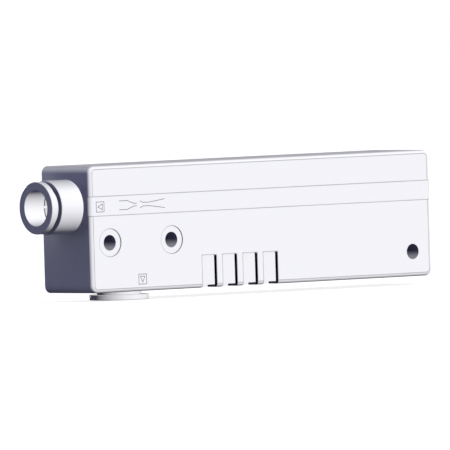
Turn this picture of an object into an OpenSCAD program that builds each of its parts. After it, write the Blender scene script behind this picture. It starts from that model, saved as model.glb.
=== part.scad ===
// Vacuum ejector, box type, with a built-in silencer and push-in tube fittings.
// Compressed air enters the supply fitting on the left end, leaves the nozzle as a jet,
// draws air in through the vacuum fitting underneath, crosses the diffuser and passes the
// sound-absorbing sponge to the slots in the lower front edge.
//
// Millimetres. The origin is midway between the two mounting holes next to the ports, on
// the back face that is bolted down. +X runs from the supply end to the closed end, +Z is
// up and the front faces -Y.

/* [Body] */
// Length of the moulded box, without its fittings
body_length = 150.5; // [147:0.5:160]
// Height of the box
body_height = 43.1; // [42.6:0.1:46]
// Thickness of the box, from the back face to the front face
body_depth = 25.4; // [25:0.2:30]
// Radius of the four edges that run from front to back
corner_radius = 2.4; // [1.9:0.1:2.8]
// Radius of the edge round the front face
front_edge_radius = 1.2; // [0.5:0.1:1.3]
// Thickness of the outer walls
wall = 2.6; // [2.4:0.1:2.8]
// Height of the raised band along the front
band_height = 6.6; // [4:0.2:9]
// How far the band stands out
band_rise = 0.25; // [0.15:0.05:0.5]

/* [Mounting holes] */
// Diameter of the three screw holes
hole_diameter = 5.3; // [4.3:0.1:5.5]
// Distance between the two holes next to the ports
hole_pitch = 27; // [27:0.5:28]
// Distance of the first hole from the supply end
hole_inset = 8.4; // [8:0.1:9]
// Height of these two holes above the bottom
hole_height = 16.9; // [16.4:0.1:17.2]
// Distance of the third hole from the closed end
end_hole_inset = 8.5; // [7.5:0.1:9]
// Height of the third hole above the bottom
end_hole_height = 8.5; // [7.8:0.1:9.2]
// Diameter of the spot face round the first two holes
spot_face_diameter = 9.5; // [8:0.1:10]
// Depth of the spot face
spot_face_depth = 0.35; // [0.2:0.05:0.6]
// Outer diameter of the pillars that the screws pass through
pillar_diameter = 9.5; // [9:0.1:10]

/* [Supply fitting] */
// Height of the supply port, the nozzle and the diffuser above the bottom
port_height = 29.4; // [28.6:0.1:29.6]
// Outer diameter of the socket that stands out of the supply end
stub_diameter = 18.4; // [18.2:0.1:19]
// How far the socket stands out
stub_length = 9.3; // [9:0.1:9.6]
// Bore of the socket
supply_socket_diameter = 16.2; // [16:0.1:16.4]
// Diameter of the release button's flange
supply_flange_diameter = 17.8; // [17:0.1:18.2]
// Thickness of the flange
supply_flange_thickness = 2.3; // [1.6:0.1:2.8]
// Outer diameter of the release button's sleeve
supply_sleeve_diameter = 14; // [13.8:0.1:14.2]
// Gap behind the flange when the button is out
supply_button_gap = 1.7; // [1.4:0.1:1.8]

/* [Vacuum fitting] */
// Bore of the socket in the bottom of the box
vacuum_socket_diameter = 18; // [17.6:0.1:18.2]
// Diameter of the release button's flange
vacuum_flange_diameter = 20.3; // [19:0.1:21]
// Thickness of the flange
vacuum_flange_thickness = 1.8; // [1.4:0.1:2.4]
// Outer diameter of the release button's sleeve
vacuum_sleeve_diameter = 15.2; // [14.8:0.1:15.4]
// Gap behind the flange when the button is out
vacuum_button_gap = 1.1; // [1:0.1:1.8]

/* [Tube grip] */
// Outer diameter of the tube that both fittings take
tube_diameter = 12; // [11.8:0.1:12]
// Number of teeth of the gripping ring
tooth_count = 12; // [8:1:16]
// Number of fingers of the collet
finger_count = 8; // [6:1:10]

/* [Ejector] */
// Diameter of the nozzle's throat
nozzle_throat_diameter = 2; // [1:0.1:2.4]
// Diameter of the diffuser's throat
diffuser_throat_diameter = 3.8; // [3:0.1:4.4]
// Length of the diffuser
diffuser_length = 63.4; // [62:0.2:68]

/* [Exhaust slots] */
// Number of slots
slot_count = 4; // [2:1:6]
// Distance from one slot to the next
slot_pitch = 9; // [8:0.1:10]
// Width of a slot
slot_width = 6.3; // [4:0.1:7]
// Height of a slot's recess in the front face
slot_height = 11; // [6:0.1:14]
// Depth of the recess in the front face
slot_recess = 1.3; // [0.6:0.1:1.5]
// Distance of the first slot from the supply end
slot_start = 48.5; // [44:0.1:52]

/* [Rear cover] */
// Thickness of the cover
cover_thickness = 2.5; // [2:0.1:3]
// Width of the body's rim round the cover
cover_rim = 1.5; // [1.3:0.1:1.6]
// Gap round the cover
cover_gap = 0.1; // [0.05:0.05:0.2]

/* [Hidden] */

$fn = 64;
cut = 1;                    // how far a cutter runs past the face it cuts

// Places in the part's frame
left_x = -(hole_inset + hole_pitch / 2);
right_x = left_x + body_length;
bottom_z = -hole_height;
port_z = bottom_z + port_height;
middle_depth = body_depth / 2;
front_wall_depth = body_depth - wall;
end_hole_x = right_x - end_hole_inset;
end_hole_z = bottom_z + end_hole_height;

// Depths along a fitting, from the mouth of its socket
bore_radius = tube_diameter / 2 + 0.1;
seat_radius = tube_diameter / 2 + 0.15;
guide_land = 2.6;
guide_length = 5.6;
collet_start = 5.7;
collet_length = 2.9;
chuck_start = collet_start + collet_length + 0.05;
seal_start = 10;
seal_length = 3;
socket_depth = seal_start + seal_length;
supply_stop = 16.5;
vacuum_stop = 14.5;

// Distances along the ejector, from the supply end of the box
nozzle_start = supply_stop - stub_length;
nozzle_shoulder = 17;
nozzle_tip = 20.6;
suction_start = 19;
diffuser_start = 26.6;
bulkhead = 44;              // where the upper chamber begins
lower_chamber_start = 33.5; // the lower chamber reaches further left, round a pillar
suction_radius = 4.6;
land_radius = 6.1;          // bore that the diffuser is pushed into
ring_section = 1.8;         // thickness of the two O-rings

// Silencer chamber
chamber_floor = wall;
chamber_ceiling = body_height - wall;
chamber_end = body_length - wall;
chamber_step = 19.9;        // height where the lower chamber meets the bulkhead
absorber_gap = 0.3;
cradle_x = 84;
cradle_width = 2.4;
stop_x = 101.6;
cover_rib = 1.4;

groove_height = 0.9;        // slot in the bottom edge, below each recess
groove_depth = 5.2;

// ---------------------------------------------------------------- shared shapes

// Rounded rectangle with its lower left corner at the origin
module rounded_rectangle(width, height, radius) {
    translate([radius, 0])
        square([width - 2 * radius, height]);
    translate([0, radius])
        square([width, height - 2 * radius]);
    for (x = [radius, width - radius])
        for (y = [radius, height - radius])
            translate([x, y])
                circle(radius);
}

// Block between two lengths, two heights and two depths behind the back face
module block(length, height, depth, radius = 0) {
    translate([left_x + length[0], -depth[0], bottom_z + height[0]])
        rotate([90, 0, 0])
            linear_extrude(depth[1] - depth[0])
                if (radius > 0)
                    rounded_rectangle(length[1] - length[0], height[1] - height[0], radius);
                else
                    square([length[1] - length[0], height[1] - height[0]]);
}

// Round bar from front to back between two depths
module pin_through(x, z, diameter, depth) {
    translate([x, -depth[0], z])
        rotate([90, 0, 0])
            cylinder(d = diameter, h = depth[1] - depth[0]);
}

// Places a shape that stands on the port axis, its own +Z pointing along +X
module on_port_axis(length) {
    translate([left_x + length, -middle_depth, port_z])
        rotate([0, 90, 0])
            children();
}

// Places a shape at the mouth of a socket, its own +Z pointing inwards
module at_supply_mouth() {
    on_port_axis(-stub_length)
        children();
}

module at_vacuum_mouth() {
    translate([0, -middle_depth, bottom_z])
        children();
}

// Ring of round section, standing on its own axis
module o_ring(bore, section) {
    rotate_extrude()
        translate([bore - section / 2, 0])
            circle(d = section);
}

// ---------------------------------------------------------------- body

// Corner of the box: a post whose front rim is rounded
module corner_post() {
    core = corner_radius - front_edge_radius;
    shoulder = body_depth - front_edge_radius;
    rotate([90, 0, 0])
        rotate_extrude() {
            square([corner_radius, shoulder]);
            square([core, body_depth]);
            intersection() {
                translate([core, shoulder])
                    circle(front_edge_radius);
                translate([0, shoulder / 2])
                    square([corner_radius, body_depth]);
            }
        }
}

// The box before it is hollowed, with its long corners and its front edge rounded
module body_blank() {
    r = corner_radius;
    edge = front_edge_radius;
    shoulder = body_depth - edge;
    for (x = [r, body_length - r])
        for (z = [r, body_height - r])
            translate([left_x + x, 0, bottom_z + z])
                corner_post();
    block([r, body_length - r], [0, body_height], [0, shoulder]);
    block([0, body_length], [r, body_height - r], [0, shoulder]);
    block([edge, body_length - edge], [r, body_height - r], [0, body_depth]);
    block([r, body_length - r], [edge, body_height - edge], [0, body_depth]);
    for (z = [edge, body_height - edge])
        translate([left_x + r, -shoulder, bottom_z + z])
            rotate([0, 90, 0])
                cylinder(r = edge, h = body_length - 2 * r);
    for (x = [edge, body_length - edge])
        translate([left_x + x, -shoulder, bottom_z + r])
            cylinder(r = edge, h = body_height - 2 * r);
}

// Raised band at the height of the port, running out round both ends
module label_band() {
    edge = front_edge_radius;
    translate([left_x, 0, port_z - band_height / 2])
        linear_extrude(band_height) {
            for (x = [edge, body_length - edge])
                translate([x, edge - body_depth])
                    circle(edge + band_rise);
            translate([edge, -body_depth - band_rise])
                square([body_length - 2 * edge, edge + band_rise]);
        }
}

// Round socket on the supply end, its rim lightly chamfered
module supply_stub() {
    rim = 0.15;
    at_supply_mouth() {
        cylinder(d1 = stub_diameter - 2 * rim, d2 = stub_diameter, h = rim);
        translate([0, 0, rim])
            cylinder(d = stub_diameter, h = stub_length);
    }
}

// Hollow behind the bulkhead, and its lower arm that reaches back beside the vacuum socket
module silencer_chamber() {
    depth = [0, front_wall_depth];
    block([bulkhead, chamber_end], [chamber_floor, chamber_ceiling], depth, 1);
    block([lower_chamber_start, bulkhead + 2], [chamber_floor, chamber_step], depth, 1);
}

// Pocket that keeps the walls even between the vacuum socket and the supply end
module corner_pocket() {
    block([wall, 10.2], [wall, 11.4], [0, front_wall_depth], 1);
}

module cover_rebate() {
    block([cover_rim, body_length - cover_rim], [cover_rim, body_height - cover_rim],
          [-cut, cover_thickness], corner_radius - cover_rim);
}

// Pillars that carry the clamping load from the front face to the back face
module screw_pillars() {
    depth = [0, body_depth - wall / 2];
    for (x = [-hole_pitch / 2, hole_pitch / 2])
        pin_through(x, 0, pillar_diameter, depth);
    pin_through(end_hole_x, end_hole_z, pillar_diameter, depth);
}

module screw_holes() {
    depth = [-cut, body_depth + cut];
    for (x = [-hole_pitch / 2, hole_pitch / 2]) {
        pin_through(x, 0, hole_diameter, depth);
        pin_through(x, 0, spot_face_diameter, [body_depth - spot_face_depth, depth[1]]);
    }
    pin_through(end_hole_x, end_hole_z, hole_diameter, depth);
}

// Rib with a slot, open at the back, that the diffuser's tail is laid in
module diffuser_cradle() {
    slot = diffuser_barrel_radius + 0.05;
    difference() {
        block([cradle_x, cradle_x + cradle_width], [chamber_step + 0.4, chamber_ceiling + wall / 2],
              [cover_thickness + 0.2, front_wall_depth + wall / 2]);
        on_port_axis(cradle_x - cut)
            cylinder(r = slot, h = cradle_width + 2 * cut);
        block([cradle_x - cut, cradle_x + cradle_width + cut],
              [port_height - slot, port_height + slot], [0, middle_depth]);
    }
}

// Low ribs that keep the end absorber away from the diffuser's mouth
module absorber_stops() {
    rib = 1.6;
    rise = 3;
    depth = [cover_thickness + 0.2, front_wall_depth + wall / 2];
    block([stop_x, stop_x + rib], [chamber_ceiling - rise, chamber_ceiling + wall / 2], depth);
    block([stop_x, stop_x + rib], [chamber_step + 1, chamber_ceiling],
          [front_wall_depth - rise, front_wall_depth + wall / 2]);
}

// Stepped bore from the supply mouth to the suction chamber, and the diffuser's seat
module supply_bores() {
    at_supply_mouth() {
        translate([0, 0, -cut])
            cylinder(d = supply_socket_diameter, h = socket_depth + cut);
        cylinder(r = seat_radius, h = stub_length + nozzle_shoulder);
        cylinder(r = nozzle_nose_radius + 0.2, h = stub_length + suction_start + cut);
    }
    on_port_axis(suction_start)
        cylinder(r = land_radius, h = bulkhead - suction_start + cut);
}

// Vacuum socket in the bottom, and the passage up to the suction chamber
module vacuum_bores() {
    at_vacuum_mouth() {
        translate([0, 0, -cut])
            cylinder(d = vacuum_socket_diameter, h = socket_depth + cut);
        cylinder(r = seat_radius, h = vacuum_stop);
        cylinder(r = suction_radius, h = port_height);
    }
}

// Each slot is a shallow recess in the front, a deeper groove in the bottom edge, and an
// opening from that groove up into the chamber
module exhaust_slots() {
    for (i = [0:slot_count - 1]) {
        x = slot_start + i * slot_pitch;
        length = [x, x + slot_width];
        block(length, [-cut, slot_height], [body_depth - slot_recess, body_depth + cut], 0.5);
        block(length, [-cut, groove_height], [body_depth - groove_depth, body_depth + cut]);
        block(length, [0, wall + cut], [body_depth - groove_depth, front_wall_depth]);
    }
}

module body() {
    color([0.95, 0.95, 0.97])
        difference() {
            union() {
                difference() {
                    union() {
                        body_blank();
                        label_band();
                        supply_stub();
                    }
                    cover_rebate();
                    silencer_chamber();
                    corner_pocket();
                }
                screw_pillars();
                diffuser_cradle();
                absorber_stops();
            }
            screw_holes();
            supply_bores();
            vacuum_bores();
            exhaust_slots();
        }
}

// ---------------------------------------------------------------- rear cover

// Plate flush with the back face, with two ribs that hold the lower absorber down
module rear_cover() {
    inset = cover_rim + cover_gap;
    rib = 1.5;
    color([0.93, 0.93, 0.95])
        difference() {
            union() {
                block([inset, body_length - inset], [inset, body_height - inset],
                      [0, cover_thickness], corner_radius - cover_rim);
                for (z = [7, 15])
                    block([48, 130], [z, z + rib], [cover_thickness, cover_thickness + cover_rib]);
            }
            for (x = [-hole_pitch / 2, hole_pitch / 2])
                pin_through(x, 0, pillar_diameter + 2 * cover_gap, [-cut, cover_thickness + cut]);
            pin_through(end_hole_x, end_hole_z, pillar_diameter + 2 * cover_gap,
                        [-cut, cover_thickness + cut]);
        }
}

// ---------------------------------------------------------------- nozzle and diffuser

nozzle_radius = seat_radius - 0.05;
nozzle_nose_radius = 5.2;
diffuser_barrel_radius = 5.2;
diffuser_flange_radius = 7.6;
groove_width = 2.2;

// Turned jet: cone inlet, short throat and a slightly widening mouth
module nozzle() {
    length = nozzle_tip - nozzle_start;
    land = nozzle_shoulder - nozzle_start;
    throat = nozzle_throat_diameter / 2;
    inlet = 4.5;
    groove = seat_radius - ring_section - 0.02;
    seal_at = land / 2;
    color([0.80, 0.81, 0.83])
        on_port_axis(nozzle_start)
            rotate_extrude()
                polygon([
                    [inlet, 0], [nozzle_radius - 0.3, 0], [nozzle_radius, 0.3],
                    [nozzle_radius, seal_at - groove_width / 2],
                    [groove, seal_at - groove_width / 2],
                    [groove, seal_at + groove_width / 2],
                    [nozzle_radius, seal_at + groove_width / 2],
                    [nozzle_radius, land], [nozzle_nose_radius, land],
                    [nozzle_nose_radius - 0.4, land + 1], [throat + 1.2, length],
                    [throat * 1.3, length], [throat, length - 2.4], [throat, length - 4.4],
                ]);
}

module nozzle_seal() {
    color([0.10, 0.10, 0.11])
        on_port_axis((nozzle_start + nozzle_shoulder) / 2)
            o_ring(seat_radius - 0.01, ring_section);
}

// Moulded tube: bell mouth, throat, long taper, and a flange that stops at the bulkhead
module diffuser() {
    throat = diffuser_throat_diameter / 2;
    land = bulkhead - diffuser_start;
    outer = land_radius - 0.05;
    groove = land_radius - ring_section - 0.02;
    seal_at = land / 2;
    flange = 2.2;
    mouth = 4.4;
    color([0.90, 0.90, 0.88])
        on_port_axis(diffuser_start)
            rotate_extrude()
                polygon([
                    [mouth, 0], [outer - 0.4, 0], [outer, 0.4],
                    [outer, seal_at - groove_width / 2], [groove, seal_at - groove_width / 2],
                    [groove, seal_at + groove_width / 2], [outer, seal_at + groove_width / 2],
                    [outer, land], [diffuser_flange_radius, land],
                    [diffuser_flange_radius, land + flange],
                    [diffuser_barrel_radius, land + flange],
                    [diffuser_barrel_radius, diffuser_length],
                    [throat * 2, diffuser_length], [throat, 24], [throat, 5], [throat + 0.7, 2.4],
                ]);
}

module diffuser_seal() {
    color([0.10, 0.10, 0.11])
        on_port_axis((diffuser_start + bulkhead) / 2)
            o_ring(land_radius - 0.01, ring_section);
}

// ---------------------------------------------------------------- sound absorbers

absorber_depth = [cover_thickness + cover_rib + 0.1, front_wall_depth - absorber_gap];
absorber_color = [0.88, 0.86, 0.78];

// Block on the chamber floor, over the exhaust openings
module absorber_lower() {
    color(absorber_color)
        block([42, 134], [chamber_floor + absorber_gap, chamber_step - 0.2], absorber_depth);
}

// Thin slab above the diffuser
module absorber_upper() {
    color(absorber_color)
        block([bulkhead + 2.6, cradle_x - 0.3],
              [port_height + diffuser_barrel_radius + 0.2, chamber_ceiling - absorber_gap],
              absorber_depth);
}

// Block across the end of the chamber, with a hollow that the jet runs into
module absorber_end() {
    face = stop_x + 2;
    hollow = 12;
    color(absorber_color)
        difference() {
            block([face, chamber_end - absorber_gap],
                  [chamber_step + 0.1, chamber_ceiling - absorber_gap], absorber_depth);
            on_port_axis(face - cut)
                cylinder(r = diffuser_barrel_radius + 1, h = hollow + cut);
        }
}

// ---------------------------------------------------------------- push-in fittings

// Flanged sleeve. Its barb snaps in behind the guide, and its nose opens the collet just
// before the flange meets the socket
module release_button(flange_d, flange_t, sleeve_d, gap) {
    outer = flange_d / 2;
    sleeve = sleeve_d / 2;
    barb = sleeve + 0.35;
    barb_start = guide_land + 0.05;
    nose = collet_start - gap + 0.15;
    face = -(gap + flange_t);
    edge = 0.15;
    mouth_edge = 0.05;
    rotate_extrude()
        polygon([
            [bore_radius + mouth_edge, face], [outer - edge, face], [outer, face + edge],
            [outer, -gap - edge], [outer - edge, -gap],
            [sleeve, -gap], [sleeve, barb_start], [barb, barb_start],
            [barb, barb_start + 0.6], [bore_radius + 0.3, nose], [bore_radius, nose],
            [bore_radius, face + mouth_edge],
        ]);
}

// Collar pressed into the socket: a land for the sleeve, and a skirt round its barb
module fitting_guide(socket_d, sleeve_d) {
    outer = socket_d / 2;
    land = sleeve_d / 2 + 0.06;
    skirt = sleeve_d / 2 + 0.5;
    rotate_extrude()
        polygon([
            [land, 0.1], [outer, 0.1], [outer, guide_length], [skirt, guide_length],
            [skirt, guide_land], [land, guide_land],
        ]);
}

// Slit ring whose fingers carry the gripping ring
module fitting_collet(socket_d) {
    outer = socket_d / 2 - 0.05;
    inner = tube_diameter / 2 + 0.3;
    slit_width = 0.8;
    slit_depth = 1.8;
    difference() {
        translate([0, 0, collet_start])
            rotate_extrude()
                polygon([
                    [outer - 0.85, 0], [outer, 0], [outer, collet_length],
                    [inner, collet_length], [inner, 1.1],
                ]);
        for (i = [0:finger_count - 1])
            rotate([0, 0, i * 360 / finger_count])
                translate([0, -slit_width / 2, collet_start - cut])
                    cube([outer + cut, slit_width, slit_depth + cut]);
    }
}

// Stainless gripping ring: a flat rim, and teeth bent inwards along the tube's way
module fitting_chuck(socket_d) {
    rim = socket_d / 2 - 0.05;
    bend = tube_diameter / 2 + 0.9;
    tip = tube_diameter / 2 - 0.25;
    sheet = 0.3;
    lean = 0.8;
    notch = 0.7;
    difference() {
        translate([0, 0, chuck_start])
            rotate_extrude()
                polygon([
                    [bend, 0], [rim, 0], [rim, sheet], [bend - 0.1, sheet],
                    [tip, lean + sheet], [tip, lean],
                ]);
        for (i = [0:tooth_count - 1])
            rotate([0, 0, i * 360 / tooth_count])
                translate([0, -notch / 2, chuck_start - cut])
                    cube([bend, notch, lean + sheet + 2 * cut]);
    }
}

// Rubber seal with a lip that closes on the tube
module fitting_seal(socket_d) {
    outer = socket_d / 2 - 0.02;
    root = tube_diameter / 2 + 0.3;
    lip = tube_diameter / 2 - 0.15;
    translate([0, 0, seal_start])
        rotate_extrude()
            polygon([
                [root + 0.6, 0], [outer, 0], [outer, seal_length - 0.02],
                [root, seal_length - 0.02], [root, seal_length - 0.6], [lip, 1.6], [root, 0.8],
            ]);
}

button_color = [0.95, 0.95, 0.96];
guide_color = [0.92, 0.92, 0.94];
collet_color = [0.85, 0.85, 0.87];
steel_color = [0.72, 0.73, 0.75];
rubber_color = [0.12, 0.12, 0.13];

module supply_release_button() {
    color(button_color)
        at_supply_mouth()
            release_button(supply_flange_diameter, supply_flange_thickness, supply_sleeve_diameter,
                           supply_button_gap);
}

module supply_guide() {
    color(guide_color)
        at_supply_mouth()
            fitting_guide(supply_socket_diameter, supply_sleeve_diameter);
}

module supply_collet() {
    color(collet_color)
        at_supply_mouth()
            fitting_collet(supply_socket_diameter);
}

module supply_chuck() {
    color(steel_color)
        at_supply_mouth()
            fitting_chuck(supply_socket_diameter);
}

module supply_seal() {
    color(rubber_color)
        at_supply_mouth()
            fitting_seal(supply_socket_diameter);
}

module vacuum_release_button() {
    color(button_color)
        at_vacuum_mouth()
            release_button(vacuum_flange_diameter, vacuum_flange_thickness, vacuum_sleeve_diameter,
                           vacuum_button_gap);
}

module vacuum_guide() {
    color(guide_color)
        at_vacuum_mouth()
            fitting_guide(vacuum_socket_diameter, vacuum_sleeve_diameter);
}

module vacuum_collet() {
    color(collet_color)
        at_vacuum_mouth()
            fitting_collet(vacuum_socket_diameter);
}

module vacuum_chuck() {
    color(steel_color)
        at_vacuum_mouth()
            fitting_chuck(vacuum_socket_diameter);
}

module vacuum_seal() {
    color(rubber_color)
        at_vacuum_mouth()
            fitting_seal(vacuum_socket_diameter);
}

body();
rear_cover();
nozzle();
nozzle_seal();
diffuser();
diffuser_seal();
absorber_lower();
absorber_upper();
absorber_end();
supply_release_button();
supply_guide();
supply_collet();
supply_chuck();
supply_seal();
vacuum_release_button();
vacuum_guide();
vacuum_collet();
vacuum_chuck();
vacuum_seal();
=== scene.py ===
# Vacuum ejector, box type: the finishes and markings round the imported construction.
# Everything is in metres, in the part's own frame: +X from the supply end to the closed
# end, the front on -Y, +Z up, the origin between the two mounting holes on the back face.
import math

import bpy
import bmesh
from mathutils import Matrix, Vector


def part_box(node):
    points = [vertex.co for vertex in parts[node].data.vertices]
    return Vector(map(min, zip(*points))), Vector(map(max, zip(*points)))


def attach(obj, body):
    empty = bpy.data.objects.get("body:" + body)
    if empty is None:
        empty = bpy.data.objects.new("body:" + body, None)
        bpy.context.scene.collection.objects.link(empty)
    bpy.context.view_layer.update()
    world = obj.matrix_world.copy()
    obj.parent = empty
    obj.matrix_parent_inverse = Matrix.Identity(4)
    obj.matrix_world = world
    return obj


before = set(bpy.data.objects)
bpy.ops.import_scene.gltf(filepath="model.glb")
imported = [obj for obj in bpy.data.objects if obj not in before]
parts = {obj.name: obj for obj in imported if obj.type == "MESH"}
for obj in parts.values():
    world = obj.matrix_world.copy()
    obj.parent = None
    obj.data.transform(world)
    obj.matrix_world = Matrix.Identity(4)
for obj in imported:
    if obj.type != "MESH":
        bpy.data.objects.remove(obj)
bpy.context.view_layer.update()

# ---------------------------------------------------------------- moulded body
# The housing: one injection moulding in white glass-filled polyester, open at the back. Its
# tool was spark-eroded, so the skin has a fine dull grain. Painted shade darkens its top face,
# the foot of every step and the rim on the front, the screw holes and the slot walls.

MM = 0.001


def add_node(tree, kind, **settings):
    """A shader node with its settings and named inputs set."""
    node = tree.nodes.new(kind)
    for key, value in settings.items():
        if hasattr(node, key):
            setattr(node, key, value)
        else:
            node.inputs[key].default_value = value
    return node


def new_material(name):
    """A material with its node tree, its surface shader and the place on the piece."""
    material = bpy.data.materials.new(name)
    material.use_nodes = True
    tree = material.node_tree
    place = add_node(tree, "ShaderNodeTexCoord").outputs["Object"]
    return material, tree, tree.nodes["Principled BSDF"], place


def finish(name, material):
    """Gives a carried-over part its material."""
    parts[name].data.materials.clear()
    parts[name].data.materials.append(material)


def calculate(tree, operation, *values, clamp=False):
    """A Math node on sockets or numbers; returns its output."""
    node = tree.nodes.new("ShaderNodeMath")
    node.operation = operation
    node.use_clamp = clamp
    for socket, value in zip(node.inputs, values):
        if isinstance(value, (int, float)):
            socket.default_value = value
        else:
            tree.links.new(value, socket)
    return node.outputs[0]


def noise(tree, place, **settings):
    """A cloudy pattern over the piece, between 0 and 1."""
    texture = add_node(tree, "ShaderNodeTexNoise", **settings)
    tree.links.new(place, texture.inputs["Vector"])
    return texture.outputs["Fac"]


def raise_surface(tree, surface, height, strength, depth):
    """Bump on the surface, as deep as given where the height is 1."""
    bump = add_node(tree, "ShaderNodeBump", Strength=strength, Distance=depth)
    tree.links.new(height, bump.inputs["Height"])
    tree.links.new(bump.outputs["Normal"], surface.inputs["Normal"])


def mixed(tree, first, second, amount):
    """Colour that goes from the first to the second with the amount."""
    mix = add_node(tree, "ShaderNodeMix", data_type="RGBA")
    mix.inputs["B"].default_value = (*second, 1)
    if isinstance(first, tuple):
        mix.inputs["A"].default_value = (*first, 1)
    else:
        tree.links.new(first, mix.inputs["A"])
    tree.links.new(amount, mix.inputs["Factor"])
    return mix.outputs["Result"]


grain_size = 0.12 * MM
grain_depth = 0.02 * MM
slow_wave = 40
slow_share = 0.6
low_tone = 0.985
plastic_gloss = 0.02


def white_plastic(name, colour, roughness, grain=grain_size, dust_and_shade=None):
    """Opaque white moulding: fine cells of a spark-eroded tool over a faint slow wave, which
    also shifts the colour a little. dust_and_shade, if given, is a function that returns layers
    of dust or painted shade as pairs of amount and colour."""
    material, tree, surface, place = new_material(name)
    fine = noise(tree, place, Scale=1 / grain, Detail=3.0, Roughness=0.6)
    slow = noise(tree, place, Scale=1 / (slow_wave * grain), Detail=1.0)
    height = calculate(tree, "MULTIPLY_ADD", slow, slow_share, fine)
    raise_surface(tree, surface, height, strength=0.25, depth=grain_depth)
    result = mixed(tree, tuple(channel * low_tone for channel in colour), colour, slow)
    for amount, dust in dust_and_shade(tree, place) if dust_and_shade else ():
        result = mixed(tree, result, dust, amount)
    tree.links.new(result, surface.inputs["Base Color"])
    surface.inputs["Roughness"].default_value = roughness
    surface.inputs["Specular IOR Level"].default_value = plastic_gloss
    return material


def within(tree, value, centre, half_width, softness):
    """1 where the value lies within half_width of the centre, fading to 0 over softness."""
    away = calculate(tree, "ABSOLUTE", calculate(tree, "SUBTRACT", value, centre))
    outside = calculate(tree, "SUBTRACT", away, half_width)
    faded = calculate(tree, "DIVIDE", outside, softness)
    return calculate(tree, "SUBTRACT", 1.0, faded, clamp=True)


def all_of(tree, *amounts):
    """The product of several amounts: 1 only where each of them is 1."""
    result = amounts[0]
    for amount in amounts[1:]:
        result = calculate(tree, "MULTIPLY", result, amount)
    return result


def any_of(tree, *amounts):
    """The largest of several amounts at each place."""
    result = amounts[0]
    for amount in amounts[1:]:
        result = calculate(tree, "MAXIMUM", result, amount)
    return result


def axes_of(tree, place):
    """The three coordinates of a place or a direction as separate values."""
    split = add_node(tree, "ShaderNodeSeparateXYZ")
    tree.links.new(place, split.inputs[0])
    return split.outputs


def distance_from(tree, a, b, centre_a, centre_b):
    """Distance from a centre line, in the plane of two coordinates."""
    along_a = calculate(tree, "SUBTRACT", a, centre_a)
    along_b = calculate(tree, "SUBTRACT", b, centre_b)
    square_b = calculate(tree, "MULTIPLY", along_b, along_b)
    return calculate(tree, "SQRT", calculate(tree, "MULTIPLY_ADD", along_a, along_a, square_b))


cover_low, cover_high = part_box("rear_cover")
button_low, button_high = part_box("supply_release_button")
cover_margin = 1.6 * MM
left_x = cover_low.x - cover_margin
right_x = cover_high.x + cover_margin
bottom_z = cover_low.z - cover_margin
top_z = cover_high.z + cover_margin
corner_radius = 2.4 * MM
front_edge_radius = 1.2 * MM

port_z = (button_low.z + button_high.z) / 2
band_half_height = 3.3 * MM
band_rise = 0.25 * MM
band_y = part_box("body")[0].y
face_y = band_y + band_rise

hole_x = 13.5 * MM
hole_radius = 2.65 * MM
spot_face_radius = 4.75 * MM
end_hole_inset = 8.5 * MM
end_hole_x = right_x - end_hole_inset
end_hole_z = bottom_z + end_hole_inset

slot_count = 4
slot_start = left_x + 48.5 * MM
slot_pitch = 9.0 * MM
slot_width = 6.3 * MM
slot_height = 11.0 * MM
slot_recess = 1.3 * MM

# Painted shade on the housing: grey lines along its steps and rim, a darker top, a bluish grey inside the
# screw holes and near-black slot walls. The same grey is also real dust in the rear cover's seams.
dust_and_shade_grey = (0.30, 0.30, 0.31)
line_reach = 0.10 * MM
line_fade = 0.10 * MM
line_depth = 0.4 * MM
shade_line_amount = 0.95
top_shade_amount = 0.78
hole_shade_grey = (0.62, 0.62, 0.70)
slot_wall_shade = (0.02, 0.02, 0.04)
margin = 0.02 * MM


def patches(tree, place):
    """Uneven strength of the painted shade, from half to nearly full."""
    least = 0.5
    spread = 0.4
    cloud = noise(tree, place, Scale=160.0, Detail=3.0)
    return calculate(tree, "MULTIPLY_ADD", cloud, spread, least, clamp=True)


def upward_painted_shade(tree, thick, amount):
    """Painted shade on the faces that look upwards, patchy like a film, gone on those steeper than the
    limit.
    """
    limit = 0.6
    facing = axes_of(tree, add_node(tree, "ShaderNodeNewGeometry").outputs["Normal"])["Z"]
    past_limit = calculate(tree, "SUBTRACT", facing, limit)
    upward = calculate(tree, "DIVIDE", past_limit, 1 - limit, clamp=True)
    return calculate(tree, "MULTIPLY", upward, calculate(tree, "MULTIPLY", thick, amount))


def past_corners(tree, x, z):
    """How far a place lies outside the body's outline shrunk by its corner radius."""
    half_x = (right_x - left_x) / 2 - corner_radius
    half_z = (top_z - bottom_z) / 2 - corner_radius
    from_x = calculate(tree, "ABSOLUTE", calculate(tree, "SUBTRACT", x, (left_x + right_x) / 2))
    from_z = calculate(tree, "ABSOLUTE", calculate(tree, "SUBTRACT", z, (bottom_z + top_z) / 2))
    reach_x = calculate(tree, "MAXIMUM", 0.0, calculate(tree, "SUBTRACT", from_x, half_x))
    reach_z = calculate(tree, "MAXIMUM", 0.0, calculate(tree, "SUBTRACT", from_z, half_z))
    return distance_from(tree, reach_x, reach_z, 0.0, 0.0)


def past_slots(tree, x, z):
    """How far a place lies past the sides or the top of the nearest slot."""
    across = calculate(tree, "SUBTRACT", x, slot_start + slot_width / 2)
    number = calculate(tree, "ROUND", calculate(tree, "DIVIDE", across, slot_pitch))
    number = calculate(tree, "MINIMUM", calculate(tree, "MAXIMUM", number, 0.0), slot_count - 1.0)
    along = calculate(tree, "SUBTRACT", across, calculate(tree, "MULTIPLY", number, slot_pitch))
    side = calculate(tree, "SUBTRACT", calculate(tree, "ABSOLUTE", along), slot_width / 2)
    above = calculate(tree, "SUBTRACT", z, bottom_z + slot_height)
    return calculate(tree, "MAXIMUM", side, above)


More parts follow.
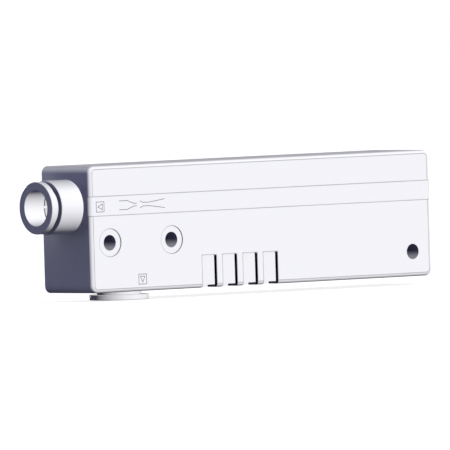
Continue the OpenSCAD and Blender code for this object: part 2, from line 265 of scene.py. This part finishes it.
def housing_painted_shade(tree, place):
    """Layers of painted shade: grey lines at the foot of each step of the front and round its rim,
    a bluish grey in the screw holes, near-black slot walls, and a lighter shade on the top face."""
    x, y, z = axes_of(tree, place)
    thick = patches(tree, place)
    at_front = calculate(tree, "LESS_THAN", y, face_y + front_edge_radius)
    on_face = calculate(tree, "LESS_THAN", y, face_y + line_depth)

    from_band = calculate(tree, "ABSOLUTE", calculate(tree, "SUBTRACT", z, port_z))
    band_line = all_of(tree, within(tree, from_band, band_half_height, line_reach, line_fade), at_front)

    from_pair = distance_from(tree, calculate(tree, "ABSOLUTE", x), z, hole_x, 0.0)
    spot_line = all_of(tree, within(tree, from_pair, spot_face_radius, line_reach, line_fade), on_face)

    outside = past_slots(tree, x, z)
    slot_line = all_of(tree, within(tree, outside, 0.0, 2 * line_reach, line_fade), on_face)
    in_recess = all_of(tree, calculate(tree, "GREATER_THAN", y, face_y + margin / 2),
                       calculate(tree, "LESS_THAN", y, face_y + slot_recess + margin))
    slot_walls = all_of(tree, within(tree, outside, 0.0, margin, margin / 2), in_recess)

    rim = within(tree, past_corners(tree, x, z), corner_radius - front_edge_radius, line_reach, line_fade)
    on_band = within(tree, z, port_z, band_half_height, line_fade)
    off_band = calculate(tree, "SUBTRACT", 1.0, on_band, clamp=True)
    in_slot = calculate(tree, "LESS_THAN", outside, 0.0)
    clear_of_slots = calculate(tree, "SUBTRACT", 1.0, in_slot)
    rim_line = all_of(tree, rim, at_front, off_band, clear_of_slots)

    from_end_hole = distance_from(tree, x, z, end_hole_x, end_hole_z)
    from_hole = calculate(tree, "MINIMUM", from_pair, from_end_hole)
    in_hole = all_of(tree, calculate(tree, "LESS_THAN", from_hole, hole_radius + 1.5 * margin),
                     calculate(tree, "GREATER_THAN", y, face_y + margin))

    # Each layer below is painted shade, not dirt.
    lines = any_of(tree, band_line, spot_line, slot_line, rim_line)
    return [(all_of(tree, lines, shade_line_amount, thick), dust_and_shade_grey),
            (in_hole, hole_shade_grey),
            (slot_walls, slot_wall_shade),
            (upward_painted_shade(tree, thick, top_shade_amount), dust_and_shade_grey)]


finish("body", white_plastic("moulded_housing", colour=(0.88, 0.88, 0.90), roughness=0.55,
                             dust_and_shade=housing_painted_shade))

# ---------------------------------------------------------------- nozzle and diffuser
# The nozzle is turned from aluminium bar and left with its fine feed marks. The diffuser is
# a smooth natural-coloured moulding, pushed in from the chamber up to its flange.


def ringed_metal(name, colour, roughness, axis):
    """Bare metal with fine rings round the given axis (0, 1 or 2)."""
    rings_per_metre = 9000.0
    material, tree, surface, place = new_material(name)
    rings = add_node(tree, "ShaderNodeTexNoise", Scale=rings_per_metre, Detail=2.0, noise_dimensions="1D")
    tree.links.new(axes_of(tree, place)[axis], rings.inputs["W"])
    raise_surface(tree, surface, rings.outputs["Fac"], strength=0.3, depth=0.01 * MM)
    surface.inputs["Base Color"].default_value = (*colour, 1)
    surface.inputs["Metallic"].default_value = 1.0
    surface.inputs["Roughness"].default_value = roughness
    return material


finish("nozzle", ringed_metal("turned_aluminium", colour=(0.80, 0.81, 0.83), roughness=0.32, axis=0))
finish("diffuser", white_plastic("diffuser_moulding", colour=(0.82, 0.82, 0.78), roughness=0.4))

# ---------------------------------------------------------------- O-rings and seals
# Black nitrile rubber: two O-rings on the nozzle and the diffuser, and a lip seal in each
# tube fitting. The rubber is matt, with the slight bloom that nitrile gets on the shelf.


def two_tone(tree, amount, dark, light, light_from=1.0):
    """Colour that runs from dark to light, and is light from the given amount on."""
    ramp = add_node(tree, "ShaderNodeValToRGB")
    ramp.color_ramp.elements[0].color = (*dark, 1)
    ramp.color_ramp.elements[1].color = (*light, 1)
    ramp.color_ramp.elements[1].position = light_from
    tree.links.new(amount, ramp.inputs["Fac"])
    return ramp.outputs["Color"]


def black_rubber(name):
    """Matt black rubber with a cloudy bloom."""
    material, tree, surface, place = new_material(name)
    bloom = noise(tree, place, Scale=900.0, Detail=4.0)
    colour = two_tone(tree, bloom, dark=(0.018, 0.018, 0.020), light=(0.045, 0.045, 0.048))
    tree.links.new(colour, surface.inputs["Base Color"])
    surface.inputs["Roughness"].default_value = 0.6
    return material


rubber = black_rubber("nitrile_rubber")
for name in ("nozzle_seal", "diffuser_seal", "supply_seal", "vacuum_seal"):
    finish(name, rubber)

# ---------------------------------------------------------------- sound absorbers
# Three blocks cut from a sheet of open-celled sponge, off-white and stiff, laid in the
# chamber. They show only through the exhaust openings underneath.


def sponge_material(name):
    """Open cells with pale walls and painted shade in their hollows."""
    cells_per_metre = 2200.0
    material, tree, surface, place = new_material(name)
    texture = add_node(tree, "ShaderNodeTexVoronoi", Scale=cells_per_metre)
    tree.links.new(place, texture.inputs["Vector"])
    cells = texture.outputs["Distance"]
    colour = two_tone(tree, cells, dark=(0.30, 0.28, 0.22), light=(0.80, 0.77, 0.66), light_from=0.35)
    tree.links.new(colour, surface.inputs["Base Color"])
    raise_surface(tree, surface, cells, strength=0.8, depth=0.2 * MM)
    surface.inputs["Roughness"].default_value = 0.95
    return material


sponge = sponge_material("open_cell_sponge")
for name in ("absorber_lower", "absorber_upper", "absorber_end"):
    finish(name, sponge)

# ---------------------------------------------------------------- rear cover
# Flat moulded plate of the same polyester, welded into the rebate at the back of the body.
# The three screw pillars come through it flush, and dust marks all these seams.

pillar_radius = 4.85 * MM
seam_depth = 0.4 * MM
seam_dust_amount = 0.75


def seam_dust(tree, place):
    """Dust along the weld round the cover and round the three pillars."""
    x, y, z = axes_of(tree, place)
    at_back = calculate(tree, "GREATER_THAN", y, -seam_depth)
    from_edge = past_corners(tree, x, z)
    edge = within(tree, from_edge, corner_radius - cover_margin, 2 * line_reach, line_fade)
    from_pair = distance_from(tree, calculate(tree, "ABSOLUTE", x), z, hole_x, 0.0)
    from_single = distance_from(tree, x, z, end_hole_x, end_hole_z)
    from_pillar = calculate(tree, "MINIMUM", from_pair, from_single)
    rings = within(tree, from_pillar, pillar_radius, 2 * line_reach, line_fade)
    return [(all_of(tree, any_of(tree, edge, rings), at_back, seam_dust_amount), dust_and_shade_grey)]


finish("rear_cover", white_plastic("rear_cover_moulding", colour=(0.86, 0.86, 0.88), roughness=0.55,
                                   dust_and_shade=seam_dust))

# ---------------------------------------------------------------- tube fittings
# Push-in fittings for 12 mm tube: a white acetal button, a white guide collar pressed into
# the socket, an acetal collet and a stainless gripping ring in front of the seal.

button_grain = 0.3 * MM
button_shade_amount = 0.6


def button_painted_shade(tree, place):
    """The same painted shade as on the housing's top, on the upper side of the button."""
    return [(upward_painted_shade(tree, patches(tree, place), button_shade_amount), dust_and_shade_grey)]


button_white = white_plastic("acetal_button", colour=(0.88, 0.88, 0.90), roughness=0.38,
                             grain=button_grain, dust_and_shade=button_painted_shade)
guide_white = white_plastic("guide_collar", colour=(0.86, 0.86, 0.88), roughness=0.45)
collet_white = white_plastic("collet_moulding", colour=(0.84, 0.84, 0.85), roughness=0.45)
steel_colour = (0.62, 0.63, 0.65)
for side, axis in (("supply", 0), ("vacuum", 2)):
    stainless = ringed_metal(side + "_stainless_sheet", steel_colour, roughness=0.25, axis=axis)
    finish(side + "_release_button", button_white)
    finish(side + "_guide", guide_white)
    finish(side + "_collet", collet_white)
    finish(side + "_chuck", stainless)

# ---------------------------------------------------------------- markings
# Fine grey lines printed on the front: a framed pointer at each port, and a small drawing of
# a jet passing a nozzle and a diffuser.

ink_width = 0.22 * MM
ink_thickness = 0.03 * MM


def printed_line(mesh, points, closed):
    """Adds a mitred bar of ink along points in X and Z to a bmesh, its middle at Y 0."""
    sharpest_mitre = 0.35
    side = ink_thickness / 2
    count = len(points)
    sections = []
    for i, point in enumerate(points):
        arms = []
        if closed or i > 0:
            arms.append((Vector(point) - Vector(points[i - 1])).normalized())
        if closed or i < count - 1:
            arms.append((Vector(points[(i + 1) % count]) - Vector(point)).normalized())
        along = sum(arms, Vector((0, 0))).normalized()
        across = Vector((-along.y, along.x))
        mitre = abs(across.dot(Vector((-arms[0].y, arms[0].x))))
        reach = ink_width / 2 / max(sharpest_mitre, mitre)
        section = []
        for shift, y in ((-reach, -side), (reach, -side), (reach, side), (-reach, side)):
            section.append(mesh.verts.new((point[0] + shift * across.x, y, point[1] + shift * across.y)))
        sections.append(section)
    for i in range(count if closed else count - 1):
        here = sections[i]
        there = sections[(i + 1) % count]
        for j in range(4):
            k = (j + 1) % 4
            mesh.faces.new((here[j], here[k], there[k], there[j]))
    if not closed:
        mesh.faces.new(sections[0])
        mesh.faces.new(sections[-1])


def printed_mark(name, lines, place, y):
    """A piece made of thin printed lines, half sunk in the face at y."""
    mesh = bmesh.new()
    for points, closed in lines:
        printed_line(mesh, [(x * MM, z * MM) for x, z in points], closed)
    bmesh.ops.recalc_face_normals(mesh, faces=mesh.faces)
    data = bpy.data.meshes.new(name)
    mesh.to_mesh(data)
    mesh.free()
    data.transform(Matrix.Translation((place[0], y, place[1])))
    piece = bpy.data.objects.new(name, data)
    bpy.context.scene.collection.objects.link(piece)
    return piece


def printing_ink(name):
    """Grey ink, slightly uneven from the pad."""
    material, tree, surface, place = new_material(name)
    wear = noise(tree, place, Scale=4000.0, Detail=2.0)
    colour = two_tone(tree, wear, dark=(0.10, 0.10, 0.11), light=(0.22, 0.22, 0.23))
    tree.links.new(colour, surface.inputs["Base Color"])
    surface.inputs["Roughness"].default_value = 0.5
    return material


ink = printing_ink("grey_marking_ink")
square = [(-1.7, -1.7), (1.7, -1.7), (1.7, 1.7), (-1.7, 1.7)]
pointer_left = [(0.95, 1.0), (-1.0, 0), (0.95, -1.0)]
pointer_down = [(-1.0, 0.95), (0, -1.0), (1.0, 0.95)]
jet = [
    ([(-10, 1.5), (-6.5, 1.5), (-3.5, 0.45), (-2.2, 0.45)], False),
    ([(-10, -1.5), (-6.5, -1.5), (-3.5, -0.45), (-2.2, -0.45)], False),
    ([(-0.9, 1.2), (0.6, 0.6), (3.2, 0.6), (10, 1.5)], False),
    ([(-0.9, -1.2), (0.6, -0.6), (3.2, -0.6), (10, -1.5)], False),
]
supply_frame = [(square, True), (pointer_left, True)]
vacuum_frame = [(square, True), (pointer_down, True)]
supply_place = (left_x + 4.2 * MM, port_z - 0.2 * MM)
vacuum_place = (left_x + 22.1 * MM, bottom_z + 4.05 * MM)
jet_place = (left_x + 22.5 * MM, port_z)
supply_mark = printed_mark("supply_port_mark", supply_frame, supply_place, band_y)
vacuum_mark = printed_mark("vacuum_port_mark", vacuum_frame, vacuum_place, face_y)
jet_mark = printed_mark("jet_mark", jet, jet_place, band_y)
for piece in (supply_mark, vacuum_mark, jet_mark):
    piece.data.materials.append(ink)
    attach(piece, "ejector")

# ---------------------------------------------------------------- camera
# A very long lens from the left of the front, almost level, with a slight roll. It stands
# far enough back for the width of its view to come out as given.

camera_data = bpy.data.cameras.new("camera")
camera_data.sensor_width = 36
camera_data.lens = 1700
camera_data.clip_start = 0.1
camera_data.clip_end = 100
view_width = 152.96 * MM
distance = view_width * camera_data.lens / camera_data.sensor_width
right = Vector((0.76961, -0.63782, -0.02975)).normalized()
up = Vector((0.04006, 0.00174, 0.99920))
back = right.cross(up).normalized()
up = back.cross(right)
target = Vector((37.08, -25.38, 3.99)) * MM
camera = bpy.data.objects.new("camera", camera_data)
camera.matrix_world = Matrix((
    (right.x, up.x, back.x, target.x + back.x * distance),
    (right.y, up.y, back.y, target.y + back.y * distance),
    (right.z, up.z, back.z, target.z + back.z * distance),
    (0, 0, 0, 1),
))
bpy.context.scene.collection.objects.link(camera)
bpy.context.scene.camera = camera

# ---------------------------------------------------------------- floor and light
# A pale floor under the vacuum button and a white surround. The key lamp in front and a weak
# bluish fill cast no shadows, a rear lamp lights the back and the closed end, and one high
# lamp shines on the floor alone, so that the object's shadow shows there.


def lamp(name, azimuth, elevation, strength, softness, colour=(1, 1, 1), shadow=True):
    """A soft parallel light. Azimuth 0 comes from the front, 90 from the closed end. Light
    without shadows isn't thrown back from one surface to another either."""
    data = bpy.data.lights.new(name, "SUN")
    data.use_shadow = shadow
    if not shadow:
        data.cycles.max_bounces = 0
    data.energy = strength
    data.angle = math.radians(softness)
    data.color = colour
    turn = math.radians(azimuth)
    rise = math.radians(elevation)
    level = math.cos(rise)
    towards = Vector((math.sin(turn) * level, -math.cos(turn) * level, math.sin(rise)))
    light = bpy.data.objects.new(name, data)
    light.rotation_euler = towards.to_track_quat("Z", "Y").to_euler()
    bpy.context.scene.collection.objects.link(light)
    return light


def seen_or_not(tree, output, seen, unseen):
    """Shows one shader to the camera, in reflections and through glass, and another to the
    light that falls on the object."""
    path = add_node(tree, "ShaderNodeLightPath")
    looks = any_of(tree, path.outputs["Is Camera Ray"], path.outputs["Is Glossy Ray"],
                   path.outputs["Is Transmission Ray"])
    either = add_node(tree, "ShaderNodeMixShader")
    tree.links.new(looks, either.inputs[0])
    tree.links.new(unseen.outputs[0], either.inputs[1])
    tree.links.new(seen.outputs[0], either.inputs[2])
    tree.links.new(either.outputs[0], output.inputs["Surface"])


lamp("key_lamp", azimuth=0, elevation=25, strength=3.45, softness=4, shadow=False)
lamp("side_lamp", azimuth=-118, elevation=2, strength=0.10, softness=15, colour=(0.83, 0.86, 1.0))
lamp("rear_lamp", azimuth=156, elevation=4, strength=2.4, softness=10)
lamp("fill_lamp", azimuth=-90, elevation=-30, strength=0.56, softness=180, colour=(0.56, 0.58, 1.0),
     shadow=False)

floor_gap = 0.05 * MM
floor_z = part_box("vacuum_release_button")[0].z - floor_gap
half_floor = 3.0
floor_corners = [(-half_floor, -half_floor, floor_z), (half_floor, -half_floor, floor_z),
                 (half_floor, half_floor, floor_z), (-half_floor, half_floor, floor_z)]
floor_mesh = bpy.data.meshes.new("floor")
floor_mesh.from_pydata(floor_corners, [], [(0, 1, 2, 3)])
floor = bpy.data.objects.new("floor", floor_mesh)
bpy.context.scene.collection.objects.link(floor)
floor_material = bpy.data.materials.new("pale_floor")
floor_material.use_nodes = True
tree = floor_material.node_tree
tree.nodes.clear()
dull = add_node(tree, "ShaderNodeBsdfDiffuse", Color=(0.06, 0.06, 0.08, 1))
pale = add_node(tree, "ShaderNodeBsdfDiffuse", Color=(0.8, 0.8, 0.8, 1))
glow = add_node(tree, "ShaderNodeEmission", Color=(1, 1, 1, 1), Strength=0.45)
lit_floor = add_node(tree, "ShaderNodeAddShader")
tree.links.new(pale.outputs[0], lit_floor.inputs[0])
tree.links.new(glow.outputs[0], lit_floor.inputs[1])
seen_or_not(tree, add_node(tree, "ShaderNodeOutputMaterial"), lit_floor, dull)
floor_mesh.materials.append(floor_material)

only_floor = bpy.data.collections.new("only_floor")
only_floor.objects.link(floor)
shadow_lamp = lamp("shadow_lamp", azimuth=-20, elevation=70, strength=0.9, softness=40)
shadow_lamp.light_linking.receiver_collection = only_floor

world = bpy.data.worlds.new("surround")
world.use_nodes = True
bpy.context.scene.world = world
tree = world.node_tree
tree.nodes.clear()
ambient = add_node(tree, "ShaderNodeBackground", Color=(0.42, 0.44, 1.0, 1), Strength=0.04)
white = add_node(tree, "ShaderNodeBackground", Color=(1, 1, 1, 1), Strength=1.0)
seen_or_not(tree, add_node(tree, "ShaderNodeOutputWorld"), white, ambient)

bpy.context.scene.view_settings.view_transform = "Standard"
